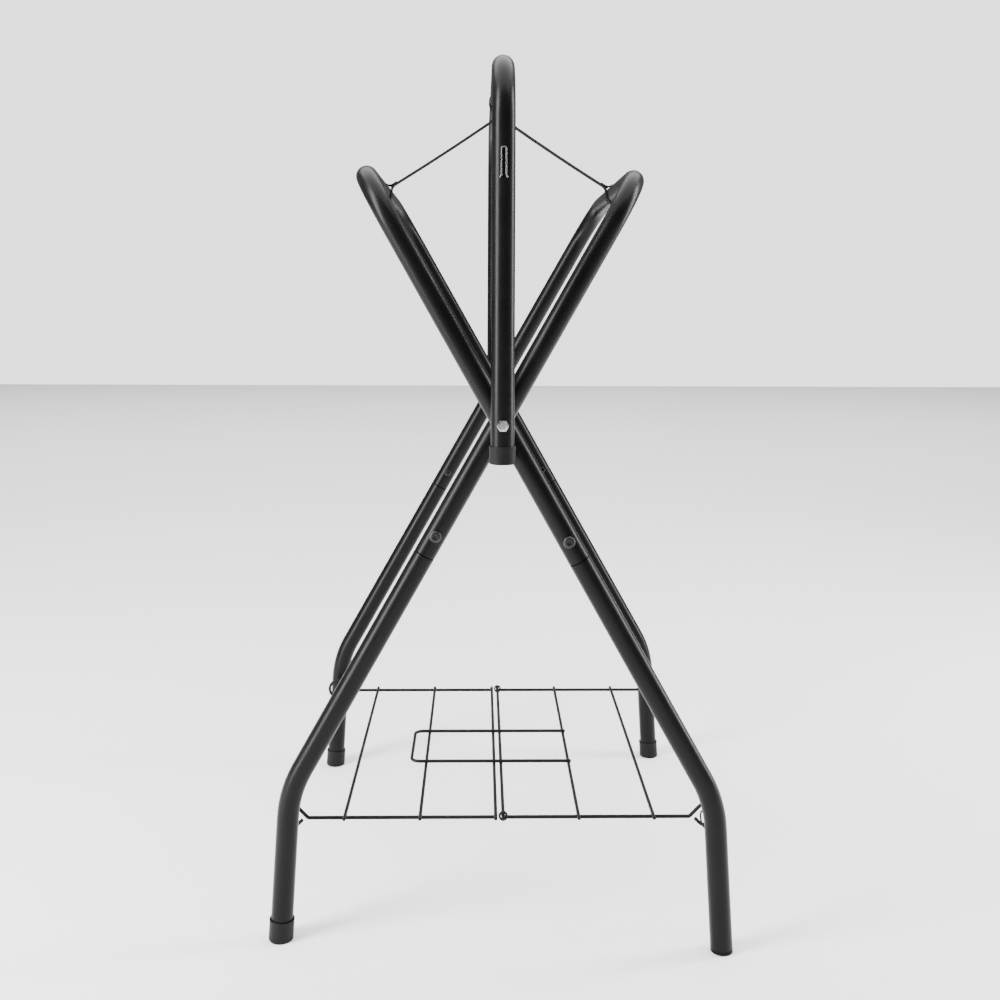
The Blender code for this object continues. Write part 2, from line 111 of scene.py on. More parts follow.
def spread(tree, source, low, high, usual=finishes["usual"]):
    # turns a pattern's usual range into low..high
    node = addNode(tree, "ShaderNodeMapRange")
    node.inputs["From Min"].default_value, node.inputs["From Max"].default_value = usual
    node.inputs["To Min"].default_value = low
    node.inputs["To Max"].default_value = high
    tree.links.new(source, node.inputs["Value"])
    return node.outputs["Result"]


def greyFrom(tree, source, look):
    ramp = addNode(tree, "ShaderNodeValToRGB")
    stops = zip(ramp.color_ramp.elements, finishes["usual"], (look["dark"], look["light"]))
    for stop, at, grey in stops:
        stop.position = at
        stop.color = (grey, grey, grey, 1)
    tree.links.new(source, ramp.inputs["Fac"])
    return ramp.outputs["Color"]


def bumpFrom(tree, shader, source, strength, depth):
    bump = addNode(tree, "ShaderNodeBump")
    bump.inputs["Strength"].default_value = strength
    bump.inputs["Distance"].default_value = depth
    tree.links.new(source, bump.inputs["Height"])
    tree.links.new(bump.outputs["Normal"], shader.inputs["Normal"])


def blackFinish(name):
    # dark coating: fine orange peel, cloudy gloss and a faint dusty variation
    look = finishes[name]
    made, tree, shader = blankMaterial(name)
    place = ownPlace(tree)
    cloud = noiseOn(tree, place, *finishes["cloud"])
    tree.links.new(greyFrom(tree, cloud, look), shader.inputs["Base Color"])
    patches = noiseOn(tree, place, *finishes["patches"])
    tree.links.new(spread(tree, patches, *look["rough"]), shader.inputs["Roughness"])
    bumpFrom(tree, shader, noiseOn(tree, place, *look["peel"]), look["bump"], finishes["peelDepth"])
    shader.inputs["Specular IOR Level"].default_value = look["shine"]
    return made


def zincFinish():
    look = finishes["zinc"]
    made, tree, shader = blankMaterial("zinc")
    place = ownPlace(tree)
    spangle = noiseOn(tree, place, *look["grain"])
    tree.links.new(greyFrom(tree, spangle, look), shader.inputs["Base Color"])
    tree.links.new(spread(tree, spangle, *look["rough"]), shader.inputs["Roughness"])
    bumpFrom(tree, shader, noiseOn(tree, place, *look["scratch"]), look["bump"], finishes["peelDepth"])
    shader.inputs["Metallic"].default_value = 1.0
    return made


def webbingFinish():
    # ribs run along the webbing (U in metres), picks across it (V in metres)
    look = finishes["webbing"]
    made, tree, shader = blankMaterial("webbing")
    uv = addNode(tree, "ShaderNodeTexCoord").outputs["UV"]
    weave = addNode(tree, "ShaderNodeMath", operation="MULTIPLY")
    for slot, direction, pitch in ((0, "X", look["pick"]), (1, "Y", look["rib"])):
        wave = addNode(tree, "ShaderNodeTexWave", wave_type="BANDS", bands_direction=direction)
        wave.inputs["Scale"].default_value = pi / (10 * pitch)  # one band in each pitch
        wave.inputs["Distortion"].default_value = look["waver"]
        tree.links.new(uv, wave.inputs["Vector"])
        tree.links.new(wave.outputs["Fac"], weave.inputs[slot])
    tree.links.new(greyFrom(tree, weave.outputs["Value"], look), shader.inputs["Base Color"])
    shader.inputs["Roughness"].default_value = look["rough"]
    shader.inputs["Specular IOR Level"].default_value = look["shine"]
    bumpFrom(tree, shader, weave.outputs["Value"], look["bump"], look["bumpDepth"])
    return made


def threadFinish():
    look = finishes["thread"]
    made, tree, shader = blankMaterial("thread")
    twist = noiseOn(tree, ownPlace(tree), *look["twist"])
    tree.links.new(greyFrom(tree, twist, look), shader.inputs["Base Color"])
    shader.inputs["Roughness"].default_value = look["rough"]
    bumpFrom(tree, shader, twist, look["bump"], look["bumpDepth"])
    return made


def floorFinish():
    look = finishes["floor"]
    made, tree, shader = blankMaterial("paleFloor")
    cloud = noiseOn(tree, ownPlace(tree), *look["cloud"])
    tree.links.new(greyFrom(tree, cloud, look), shader.inputs["Base Color"])
    shader.inputs["Roughness"].default_value = look["rough"]
    return made


powderCoat = blackFinish("powderCoat")
wireCoat = blackFinish("wireCoat")
capPlastic = blackFinish("capPlastic")
blackSteel = blackFinish("blackSteel")
clipSteel = blackFinish("clipSteel")
zinc = zincFinish()
webbing = webbingFinish()
threadCoat = threadFinish()
print("materials ready")


# how tube and wire ends are shaped; a dome's steps are (inset, rise) in radii
stockEnds = {"dome": ((0.3, 0.32), (0.35, 0.14)), "boreTaper": 0.1 * mm}


def edgesIn(items):
    return [item for item in items if isinstance(item, bmesh.types.BMEdge)]


def startRing(bm, at, heading, radius, sides):
    turn = Vector(heading).to_track_quat("Z", "Y").to_matrix().to_4x4()
    place = Matrix.Translation(at) @ turn
    ring = bmesh.ops.create_circle(bm, cap_ends=False, segments=sides, radius=radius, matrix=place)
    return list({edge for vert in ring["verts"] for edge in vert.link_edges})


def runRing(bm, edges, step):
    drawn = bmesh.ops.extrude_edge_only(bm, edges=edges)["geom"]
    moved = [item for item in drawn if isinstance(item, bmesh.types.BMVert)]
    bmesh.ops.translate(bm, verts=moved, vec=step)
    return edgesIn(drawn)


def spinRing(bm, edges, centre, axis, angle, stepAngle):
    steps = max(2, round(abs(angle) / stepAngle))
    spun = bmesh.ops.spin(
        bm, geom=edges, cent=centre, axis=axis, angle=angle, steps=steps, use_duplicate=False
    )
    return edgesIn(spun["geom_last"])


def domeEnd(bm, edges, radius):
    # a softly rounded cut end, half a radius proud
    face = bmesh.ops.contextual_create(bm, geom=edges)["faces"][0]
    return [(face, [(radius * inset, radius * rise) for inset, rise in stockEnds["dome"]])]


def openEnd(bm, edges, wall, depth):
    # a tube's cut end: the wall's thickness, then the bore going in
    face = bmesh.ops.contextual_create(bm, geom=edges)["faces"][0]
    return [(face, [(wall, 0), (stockEnds["boreTaper"], -depth)])]


def shapeEnds(bm, plans):
    bmesh.ops.recalc_face_normals(bm, faces=bm.faces)
    for face, insets in plans:
        for thickness, depth in insets:
            bmesh.ops.inset_individual(bm, faces=[face], thickness=thickness, depth=depth)


def bendStock(bm, corners, radius, bend, sides, stepAngle, edges=None):
    # runs a ring through the corners, with each inner corner bent to the given radius
    corners = [Vector(corner) for corner in corners]
    first = None
    if edges is None:
        edges = startRing(bm, corners[0], corners[1] - corners[0], radius, sides)
        first = edges
    at = corners[0]
    for before, corner, after in zip(corners, corners[1:], corners[2:]):
        back = (before - corner).normalized()
        ahead = (after - corner).normalized()
        turn = pi - back.angle(ahead)
        tangent = bend * tan(turn / 2)
        edges = runRing(bm, edges, corner + back * tangent - at)
        centre = corner + (back + ahead).normalized() * (bend / cos(turn / 2))
        edges = spinRing(bm, edges, centre, (-back).cross(ahead), turn, stepAngle)
        at = corner + ahead * tangent
    edges = runRing(bm, edges, corners[-1] - at)
    return first, edges


def turnProfile(bm, profile, sides):
    # a closed turned body: the profile starts and ends on the axis, or meets itself
    verts = [bm.verts.new((r, 0, z)) for r, z in profile]
    edges = [bm.edges.new(pair) for pair in zip(verts, verts[1:])]
    bmesh.ops.spin(
        bm, geom=verts + edges, cent=(0, 0, 0), axis=(0, 0, 1), angle=2 * pi, steps=sides,
        use_merge=True, use_duplicate=False,
    )
    bmesh.ops.remove_doubles(bm, verts=bm.verts, dist=mergeGap)


def finishPiece(name, bm, material, body, replaced=(), sharp=38):
    bmesh.ops.remove_doubles(bm, verts=bm.verts, dist=mergeGap)
    bmesh.ops.recalc_face_normals(bm, faces=bm.faces)
    mesh = bpy.data.meshes.new(name)
    bm.to_mesh(mesh)
    bm.free()
    mesh.materials.append(material)
    mesh.shade_smooth()
    mesh.set_sharp_from_angle(angle=radians(sharp))
    piece = bpy.data.objects.new(name, mesh)
    bpy.context.scene.collection.objects.link(piece)
    if body:
        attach(piece, body)
    if replaced:
        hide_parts(*replaced)
    return piece


ridge = {
    "radius": 12.5 * mm, "wall": 1.2 * mm, "bend": 70 * mm, "legEnd": 531 * mm, "bore": 12 * mm,
    "sides": 48, "step": radians(4),
}
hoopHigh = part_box("ridge_hoop")[1]
ridgeTop = hoopHigh.z - ridge["radius"]
ridgeY = hoopHigh.y - ridge["radius"]
foldJoint = next(joint for joint in frame["joints"] if joint["name"] == "frame_b_fold")
pivotHeight = foldJoint["pos_m"][2]


def makeRidgeHoop():
    bm = bmesh.new()
    corners = [(0, -ridgeY, ridge["legEnd"]), (0, -ridgeY, ridgeTop)]
    corners += [(0, -y, z) for _, y, z in reversed(corners)]
    first, last = bendStock(bm, corners, ridge["radius"], ridge["bend"], ridge["sides"], ridge["step"])
    plans = []
    for edges in (first, last):
        plans += openEnd(bm, edges, ridge["wall"], ridge["bore"])
    shapeEnds(bm, plans)
    finishPiece("ridgeHoop", bm, powderCoat, "ridge", ["ridge_hoop"])


makeRidgeHoop()


# reaches are measured along a straight leg from the pivot, positive downward
sideFrames = {
    "radius": 12 * mm, "wall": 1.2 * mm, "splay": radians(29.44), "railReach": 310.5 * mm,
    "seamReach": 170.3 * mm, "boltReach": 146 * mm, "hoopBend": 70 * mm, "hoopBore": 56 * mm,
    "kneeReach": 469.6 * mm, "kneeBend": 118 * mm, "lean": radians(2.97), "spigot": 10.4 * mm,
    "spigotLength": 50 * mm, "spigotBore": 8 * mm, "seamGap": 0.3 * mm, "shoulder": 1.0 * mm,
    "footEnd": 3 * mm, "footBore": 20 * mm, "sides": 48, "step": radians(4),
    "row": {"a": 260 * mm, "b": 232 * mm}, "side": {"a": 1, "b": -1},
}


def onLeg(name, reach, y):
    # a point on a frame's straight leg, reach below the pivot
    splay = sideFrames["splay"]
    side = sideFrames["side"][name]
    return Vector((side * reach * sin(splay), y, pivotHeight - reach * cos(splay)))


def onFoot(name, y, height):
    knee = onLeg(name, sideFrames["kneeReach"], y)
    drop = knee.z - height
    return knee + Vector((sideFrames["side"][name] * drop * tan(sideFrames["lean"]), 0, -drop))


def makeUpperHoop(name):
    bm = bmesh.new()
    seam, rail, y = sideFrames["seamReach"], -sideFrames["railReach"], sideFrames["row"][name]
    corners = [onLeg(name, seam, -y), onLeg(name, rail, -y), onLeg(name, rail, y), onLeg(name, seam, y)]
    first, last = bendStock(
        bm, corners, sideFrames["radius"], sideFrames["hoopBend"], sideFrames["sides"],
        sideFrames["step"],
    )
    plans = []
    for edges in (first, last):
        plans += openEnd(bm, edges, sideFrames["wall"], sideFrames["hoopBore"])
    shapeEnds(bm, plans)
    finishPiece(f"upperHoop_{name}", bm, powderCoat, f"frame_{name}",
                [f"upper_hoop_{name}"])


def makeLowerLeg(name, end):
    # the reduced spigot, a small shoulder at the seam, the knee and the splayed foot
    bm = bmesh.new()
    y = ends[end] * sideFrames["row"][name]
    radius, wall = sideFrames["radius"], sideFrames["wall"]
    seam = sideFrames["seamReach"]
    neck = seam + sideFrames["seamGap"]
    full = neck + sideFrames["shoulder"]
    top = onLeg(name, seam - sideFrames["spigotLength"], y)
    heading = onLeg(name, seam, y) - top
    first = startRing(bm, top, heading, sideFrames["spigot"], sideFrames["sides"])
    edges = runRing(bm, first, onLeg(name, neck, y) - top)
    swell = runRing(bm, edges, heading.normalized() * sideFrames["shoulder"])
    verts = list({vert for edge in swell for vert in edge.verts})
    middle = onLeg(name, full, y)
    grow = radius / sideFrames["spigot"]
    bmesh.ops.scale(bm, verts=verts, vec=(grow, grow, grow), space=Matrix.Translation(-middle))
    corners = [middle, onLeg(name, sideFrames["kneeReach"], y), onFoot(name, y, sideFrames["footEnd"])]
    _, last = bendStock(
        bm, corners, radius, sideFrames["kneeBend"], sideFrames["sides"], sideFrames["step"], swell
    )
    plans = openEnd(bm, first, wall, sideFrames["spigotBore"])
    plans += openEnd(bm, last, wall, sideFrames["footBore"])
    shapeEnds(bm, plans)
    finishPiece(f"lowerLeg_{name}_{end}", bm, powderCoat, f"frame_{name}",
                [f"lower_leg_{name}_{end}"])


for frameName in "ab":
    makeUpperHoop(frameName)
    for endName in ends:
        makeLowerLeg(frameName, endName)
print("tubes bent")


caps = {
    "outer": 13.5 * mm, "rim": 13.75 * mm, "height": 23 * mm, "hoopHeight": 19 * mm,
    "bore": 12.3 * mm, "floor": 3 * mm, "sink": 0.8 * mm, "sides": 64,
    # (out from the bore, down from the top) round the mouth's soft inner edge
    "mouth": ((0, 0.5 * mm), (0.15 * mm, 0.12 * mm), (0.4 * mm, 0)),
    # how far below the top the rolled rim is half out, fully out, still out and gone
    "brow": 0.25 * mm, "rimDrops": (0.3 * mm, 0.9 * mm, 1.9 * mm, 2.6 * mm),
    "heel": 1.5 * mm, "heelSteps": 6,
}
plug = {
    "stem": 9.8 * mm, "top": 14 * mm, "taper": 1 * mm, "flange": 2 * mm, "edge": 0.2 * mm,
    "below": 2 * mm,
}


def capProfile(wider, height):
    # bore, rolled top rim, body and rounded bottom edge
    outer, rim, bore = caps["outer"] + wider, caps["rim"] + wider, caps["bore"] + wider
    halfOut, fullOut, stillOut, gone = [height - drop for drop in caps["rimDrops"]]
    profile = [(0, caps["floor"]), (bore, caps["floor"])]
    profile += [(bore + out, height - down) for out, down in caps["mouth"]]
    profile += [(outer - caps["brow"], height), ((outer + rim) / 2, halfOut)]
    profile += [(rim, fullOut), (rim, stillOut), (outer, gone)]
    for step in range(caps["heelSteps"] + 1):
        turn = radians(90 * step / caps["heelSteps"])
        profile.append((outer - caps["heel"] * (1 - cos(turn)), caps["heel"] * (1 - sin(turn))))
    return profile + [(0, 0)]


def plugProfile():
    # a tapered stem for the bore under a flange as wide as the tube
    stem, top, flange, edge = plug["stem"], plug["top"], plug["flange"], plug["edge"]
    rim, taper = sideFrames["radius"], plug["taper"]
    return [(0, top), (stem - taper, top), (stem, top - taper), (stem, flange), (rim - edge, flange),
            (rim, flange - edge), (rim, -plug["below"]), (0, -plug["below"])]


def makeFoot(name, end):
    bm = bmesh.new()
    y = ends[end] * sideFrames["row"][name]
    if (name, end) == ("a", "front"):
        node, profile, place = "foot_plug_a_front", plugProfile(), onFoot(name, y, 0)
    else:
        node, profile = f"foot_cap_{name}_{end}", capProfile(0, caps["height"])
        place = onFoot(name, y, -caps["sink"])
    turnProfile(bm, profile, caps["sides"])
    lean = Matrix.Rotation(-sideFrames["side"][name] * sideFrames["lean"], 4, "Y")
    bmesh.ops.transform(bm, matrix=Matrix.Translation(place) @ lean, verts=bm.verts)
    cut = bmesh.ops.bisect_plane(
        bm, geom=bm.verts[:] + bm.edges[:] + bm.faces[:], plane_co=(0, 0, 0), plane_no=(0, 0, -1),
        clear_outer=True,
    )
    bmesh.ops.contextual_create(bm, geom=edgesIn(cut["geom_cut"]))
    pieceName = node.replace("_cap", "Cap").replace("_plug", "Plug")
    finishPiece(pieceName, bm, capPlastic, f"frame_{name}", [node])


def makeHoopCap(end):
    bm = bmesh.new()
    wider = ridge["radius"] - sideFrames["radius"]
    turnProfile(bm, capProfile(wider, caps["hoopHeight"]), caps["sides"])
    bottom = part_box(f"hoop_cap_{end}")[0].z
    bmesh.ops.translate(bm, verts=bm.verts, vec=(0, ends[end] * ridgeY, bottom))
    finishPiece(f"hoopCap_{end}", bm, capPlastic, "ridge", [f"hoop_cap_{end}"])


for endName in ends:
    makeHoopCap(endName)
    for frameName in "ab":
        makeFoot(frameName, endName)
print("caps turned")


hexStock = {
    "edge": 0.55 * mm, "corner": 0.3 * mm, "bevelSteps": 2, "land": 0.17, "mouth": 0.4 * mm,
    "mouthDepth": 0.5 * mm,
}
pivots = {
    "hex": 11.1 * mm, "nut": 5.5 * mm, "head": 4.2 * mm, "shank": 3.1 * mm, "shankSides": 32,
    "root": 1 * mm, "tip": 0.6 * mm, "short": 0.3 * mm, "gap": 0.3 * mm,
}
spacers = {"hole": 3.4 * mm, "outer": 9 * mm, "soft": 0.4 * mm, "sides": 48}
legBolts = {
    "button": 6.6 * mm, "height": 3.2 * mm, "shank": 2.9 * mm, "sides": 36, "gap": 0.3 * mm,
    "socket": 2.415 * mm, "socketFloor": 0.45, "socketEdge": 0.1 * mm, "socketMouth": 0.3 * mm,
    "crown": 0.52, "crownSteps": 8, "brim": 0.5 * mm, "brimEdge": 0.2 * mm,
    "hex": 9.5 * mm, "nut": 2.9 * mm,
}


def layAlongY(bm, x, y, z, direction):
    # local +Z turned to point out along Y, then put in place
    turn = Matrix.Rotation(-direction * pi / 2, 4, "X")
    bmesh.ops.transform(bm, matrix=Matrix.Translation((x, y, z)) @ turn, verts=bm.verts)


def hexBlock(bm, flats, low, high, isNut=False):
    # a chamfered hexagon; a nut also has a countersunk mouth on both faces
    corner = flats / (2 * cos(pi / 6))
    made = bmesh.ops.create_cone(
        bm, cap_ends=True, segments=6, radius1=corner, radius2=corner, depth=high - low
    )
    bmesh.ops.rotate(bm, verts=made["verts"], cent=(0, 0, 0), matrix=Matrix.Rotation(pi / 6, 3, "Z"))
    bmesh.ops.translate(bm, verts=made["verts"], vec=(0, 0, (low + high) / 2))
    bevel = {"segments": hexStock["bevelSteps"], "profile": 0.5, "affect": "EDGES", "material": -1}
    rims = [edge for edge in bm.edges if abs(edge.verts[0].co.z - edge.verts[1].co.z) < 0.01 * mm]
    bmesh.ops.bevel(bm, geom=rims, offset=hexStock["edge"], **bevel)
    half = (high - low) / 2
    uprights = [edge for edge in bm.edges if abs(edge.verts[0].co.z - edge.verts[1].co.z) > half]
    bmesh.ops.bevel(bm, geom=uprights, offset=hexStock["corner"], **bevel)
    if isNut:
        for pick in (max, min):
            cap = pick(bm.faces, key=lambda face: face.calc_center_median().z)
            bmesh.ops.inset_individual(bm, faces=[cap], thickness=flats * hexStock["land"], depth=0)
            bmesh.ops.inset_individual(
                bm, faces=[cap], thickness=hexStock["mouth"], depth=-hexStock["mouthDepth"]
            )


def makeSpacer(layer, end):
    low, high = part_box(f"spacer_{layer}_{end}")
    half = (high.y - low.y) / 2
    hole, outer, soft = spacers["hole"], spacers["outer"], spacers["soft"]
    ring = [(hole, half), (outer - soft, half), (outer, half - soft), (outer, soft - half),
            (outer - soft, -half), (hole, -half), (hole, half)]
    disc = bmesh.new()
    turnProfile(disc, ring, spacers["sides"])
    layAlongY(disc, 0, (low.y + high.y) / 2, pivotHeight, ends[end])
    finishPiece(f"spacer_{layer}_{end}", disc, capPlastic, "ridge",
                [f"spacer_{layer}_{end}"])


def makePivotHardware(end):
    side = ends[end]
    outside = hoopHigh.y + pivots["gap"]
    inside = sideFrames["row"]["b"] - sideFrames["radius"] - pivots["gap"]
    nut = bmesh.new()
    hexBlock(nut, pivots["hex"], 0, pivots["nut"], isNut=True)
    layAlongY(nut, 0, side * outside, pivotHeight, side)
    finishPiece(f"pivotNut_{end}", nut, zinc, "ridge", [f"pivot_nut_{end}"], sharp=25)
    bolt = bmesh.new()
    hexBlock(bolt, pivots["hex"], -pivots["head"], 0)
    length = outside + pivots["nut"] - pivots["short"] - inside
    shank, tip = pivots["shank"], pivots["tip"]
    turnProfile(bolt, [(0, length), (shank - tip, length), (shank, length - tip),
                       (shank, -pivots["root"]), (0, -pivots["root"])], pivots["shankSides"])
    layAlongY(bolt, 0, side * inside, pivotHeight, side)
    finishPiece(f"pivotBolt_{end}", bolt, zinc, "ridge", [f"pivot_bolt_{end}"], sharp=25)
    makeSpacer("outer", end)
    makeSpacer("inner", end)


def buttonProfile(tail):
    # a domed head with a socket, and a plain shank down to the tail
    button, height, shank, socket = (legBolts[key] for key in ("button", "height", "shank", "socket"))
    brim, brimEdge = legBolts["brim"], legBolts["brimEdge"]
    floor = height * legBolts["socketFloor"]
    profile = [(0, floor), (socket, floor), (socket, height - legBolts["socketEdge"]),
               (socket + legBolts["socketMouth"], height)]
    for step in range(1, legBolts["crownSteps"] + 1):
        turn = radians(90 * step / legBolts["crownSteps"])
        reach = button - button * legBolts["crown"] * (1 - sin(turn))
        profile.append((reach, brim + (height - brim) * cos(turn)))
    profile += [(button, brimEdge), (button - brimEdge, 0), (shank, 0)]
    return profile + [(shank, tail), (0, tail)]


def makeLegFasteners(name, end):
    side = ends[end]
    centre = onLeg(name, sideFrames["boltReach"], 0)
    seat = sideFrames["row"][name] + sideFrames["radius"] + legBolts["gap"]
    nutSeat = sideFrames["row"][name] - sideFrames["radius"] - legBolts["gap"] - legBolts["nut"]
    bolt = bmesh.new()
    turnProfile(bolt, buttonProfile(nutSeat - seat), legBolts["sides"])
    layAlongY(bolt, centre.x, side * seat, centre.z, side)
    finishPiece(f"legBolt_{name}_{end}", bolt, blackSteel, f"frame_{name}",
                [f"leg_bolt_{name}_{end}"], sharp=30)
    nut = bmesh.new()
    hexBlock(nut, legBolts["hex"], 0, legBolts["nut"])
    layAlongY(nut, centre.x, side * nutSeat, centre.z, side)
    finishPiece(f"legNut_{name}_{end}", nut, blackSteel, f"frame_{name}",
                [f"leg_nut_{name}_{end}"], sharp=25)


for endName in ends:
    makePivotHardware(endName)
    for frameName in "ab":
        makeLegFasteners(frameName, endName)
print("fasteners made")


shelf = {
    "wire": 2 * mm, "height": 119.4 * mm, "crossLift": 3.5 * mm, "row": 206 * mm, "tip": 219 * mm,
    "rearTip": 0.6 * mm, "inner": 3.2 * mm, "cross": (4.2 * mm, 88.6 * mm, 172.6 * mm),
    "hingeX": 233 * mm, "hingeZ": 121.5 * mm, "hook": 12 * mm, "opening": radians(45),
    "stub": 6.5 * mm, "bend": 4 * mm, "loopBend": 10 * mm, "dome": 0.9 * mm,
    "sides": 20, "step": radians(7.5),
    "bead": 1.25, "loopBead": 1.2, "beadFlat": 0.55,  # bead sizes in wire radii
}
curls = {
    "radius": 4.1 * mm, "wire": 1.1 * mm, "turns": 2, "fromFront": 5.7 * mm, "beforeRow": 7.5 * mm,
    "sides": 12, "steps": 32,
}
eyes = {
    "wire": 1 * mm, "half": 8 * mm, "bow": 7 * mm, "end": {"a": 209.6 * mm, "b": 201 * mm},
    "sink": 0.5 * mm, "bead": 1.9, "beadOut": 0.3 * mm, "sides": 16, "step": radians(9),
}


def hookedWire(bm, side, y):
    # out from the middle, up at an angle, round the hinge axis and back on itself
    opening, hook, low = shelf["opening"], shelf["hook"], shelf["height"]
    hinge = Vector((side * shelf["hingeX"], y, shelf["hingeZ"]))
    back = Vector((-side * cos(opening), 0, sin(opening)))
    start = hinge + back * hook
    corner = Vector((start.x - side * (start.z - low), y, low))
    inner = Vector((side * (shelf["inner"] + shelf["dome"]), y, low))
    first, edges = bendStock(
        bm, [inner, corner, start], shelf["wire"], shelf["bend"], shelf["sides"], shelf["step"]
    )
    edges = spinRing(bm, edges, hinge, (0, side, 0), 2 * pi - 2 * opening, shelf["step"])
    last = runRing(bm, edges, back * (shelf["stub"] - shelf["dome"]))
    return domeEnd(bm, first, shelf["wire"]) + domeEnd(bm, last, shelf["wire"])


def straightWire(bm, start, stop):
    first, last = bendStock(bm, [start, stop], shelf["wire"], 0, shelf["sides"], shelf["step"])
    return domeEnd(bm, first, shelf["wire"]) + domeEnd(bm, last, shelf["wire"])


def weldBead(bm, place, size):
    # a small flattened blob where two wires are spot welded
    flat = Matrix.Diagonal((size, size, size * shelf["beadFlat"], 1))
    bmesh.ops.create_icosphere(bm, subdivisions=2, radius=1, matrix=Matrix.Translation(place) @ flat)


def wireCurl(bm, centre):
    ringStart = centre + Vector((0, 0, curls["radius"]))
    edges = startRing(bm, ringStart, (1, 0, 0), curls["wire"], curls["sides"])
    bmesh.ops.spin(bm, geom=edges, cent=centre, axis=(0, 1, 0), angle=2 * pi, steps=curls["steps"],
                   use_merge=True, use_duplicate=False)


def makeShelfHalf(node, body, side):
    bm = bmesh.new()
    crossZ = shelf["height"] + shelf["crossLift"]
    plans = []
    for end in ends.values():
        plans += hookedWire(bm, side, end * shelf["row"])
    for x in shelf["cross"]:
        front = (side * x, -shelf["tip"] + shelf["dome"], crossZ)
        plans += straightWire(bm, front, (side * x, shelf["row"] + shelf["rearTip"], crossZ))
    shapeEnds(bm, plans)
    for x in shelf["cross"]:
        for end in ends.values():
            spot = (side * x, end * shelf["row"], shelf["height"] + shelf["crossLift"] / 2)
            weldBead(bm, spot, shelf["wire"] * shelf["bead"])
    if side > 0:  # the close wire curls that keep the two inner wires side by side
        for low in (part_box(node)[0].y + curls["fromFront"], shelf["row"] - curls["beforeRow"]):
            for turn in range(curls["turns"]):
                y = low + (2 * turn + 1) * curls["wire"]
                wireCurl(bm, Vector((side * shelf["cross"][0], y, crossZ)))
    pieceName = node.replace("_l", "L").replace("_r", "R")
    finishPiece(pieceName, bm, wireCoat, body, [node])


def makeStopLoop():
    low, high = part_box("shelf_stop_loop")
    wire = shelf["wire"]
    z = (low.z + high.z) / 2
    left, right = low.x + wire, high.x - shelf["dome"]
    front, rear = low.y + wire, high.y - wire
    bm = bmesh.new()
    corners = [(right, front, z), (left, front, z), (left, rear, z), (right, rear, z)]
    first, last = bendStock(bm, corners, wire, shelf["loopBend"], shelf["sides"], shelf["step"])
    shapeEnds(bm, domeEnd(bm, first, wire) + domeEnd(bm, last, wire))
    for y in (front, rear):
        for x in shelf["cross"][:2]:
            weldBead(bm, (x, y, z - wire), wire * shelf["loopBead"])
    finishPiece("shelfStopLoop", bm, wireCoat, "shelf_right", ["shelf_stop_loop"])


def makeEye(name, end):
    # a thin U of wire standing out of the leg's inner face, its bow inside the shelf's hook
    bm = bmesh.new()
    side, rowSign = sideFrames["side"][name], ends[end]
    wire, half = eyes["wire"], eyes["half"]
    rootX, tipX, z = side * shelf["hingeX"], side * (shelf["hingeX"] - eyes["bow"]), shelf["hingeZ"]
    rootY = sideFrames["row"][name] - sideFrames["radius"] + eyes["sink"]
    root = Vector((rootX, rowSign * rootY, z))
    tip = Vector((tipX, rowSign * eyes["end"][name], z))
    out = (tip - root).normalized()
    straight = (tip - root).length - half
    first = startRing(bm, root + Vector((0, 0, -half)), out, wire, eyes["sides"])
    edges = runRing(bm, first, out * straight)
    bowAxis = out.cross(Vector((0, 0, 1)))
    edges = spinRing(bm, edges, root + out * straight, bowAxis, pi, eyes["step"])
    last = runRing(bm, edges, -out * straight)
    shapeEnds(bm, domeEnd(bm, first, wire) + domeEnd(bm, last, wire))
    for level in (-half, half):
        weldBead(bm, root + Vector((0, rowSign * eyes["beadOut"], level)), wire * eyes["bead"])
    finishPiece(f"shelfEye_{name}_{end}", bm, wireCoat, f"frame_{name}",
                [f"shelf_eye_{name}_{end}"])


makeShelfHalf("shelf_left", "shelf_left", -1)
makeShelfHalf("shelf_right", "shelf_right", 1)
makeStopLoop()
for endName in ends:
    for frameName in "ab":
        makeEye(frameName, endName)
print("shelf made")


clip = {
    "wire": 0.8 * mm, "half": 2.5 * mm, "flare": 3.9 * mm, "foot": 826.5 * mm, "waist": 830.5 * mm,
    "top": 858.8 * mm, "gap": 0.3 * mm, "dome": 0.4 * mm, "bend": 1.6 * mm, "sides": 16,
    "step": radians(9),
}


def makePostClip():
    bm = bmesh.new()
    face = -ridgeY - ridge["radius"] - clip["gap"] - clip["wire"]
    legs = [(clip["flare"], clip["foot"] + clip["dome"]), (clip["half"], clip["waist"]),
            (clip["half"], clip["top"])]
    corners = [(-x, face, z) for x, z in legs] + [(x, face, z) for x, z in reversed(legs)]
    first, last = bendStock(bm, corners, clip["wire"], clip["bend"], clip["sides"], clip["step"])
    shapeEnds(bm, domeEnd(bm, first, clip["wire"]) + domeEnd(bm, last, clip["wire"]))
    finishPiece("postClip", bm, clipSteel, "ridge", ["post_clip"])


makePostClip()


straps = {
    "width": 22 * mm, "thick": 1.0 * mm, "gap": 0.3 * mm, "neck": 934 * mm, "neckHeight": 9 * mm,
    "neckStart": 5 * mm, "loopTurn": (-100, -440), "junction": 15.5 * mm, "slack": 5 * mm,
    "arcStep": 6, "runSteps": 12, "sag": 1.2 * mm, "doubling": 0.1 * mm, "overlap": (-1 * mm, 9 * mm),
    "sewnAt": 5 * mm, "still": 0.2, "strips": 8, "edge": 0.35 * mm, "edgeSteps": 3,
    "edgeAngle": radians(60),
}
stitching = {
    "pitch": 2.6 * mm, "thread": 0.3 * mm, "margin": 2.5 * mm, "rows": 3.5 * mm, "bars": 1.2 * mm,
    "proud": 0.3, "length": 0.42,
}


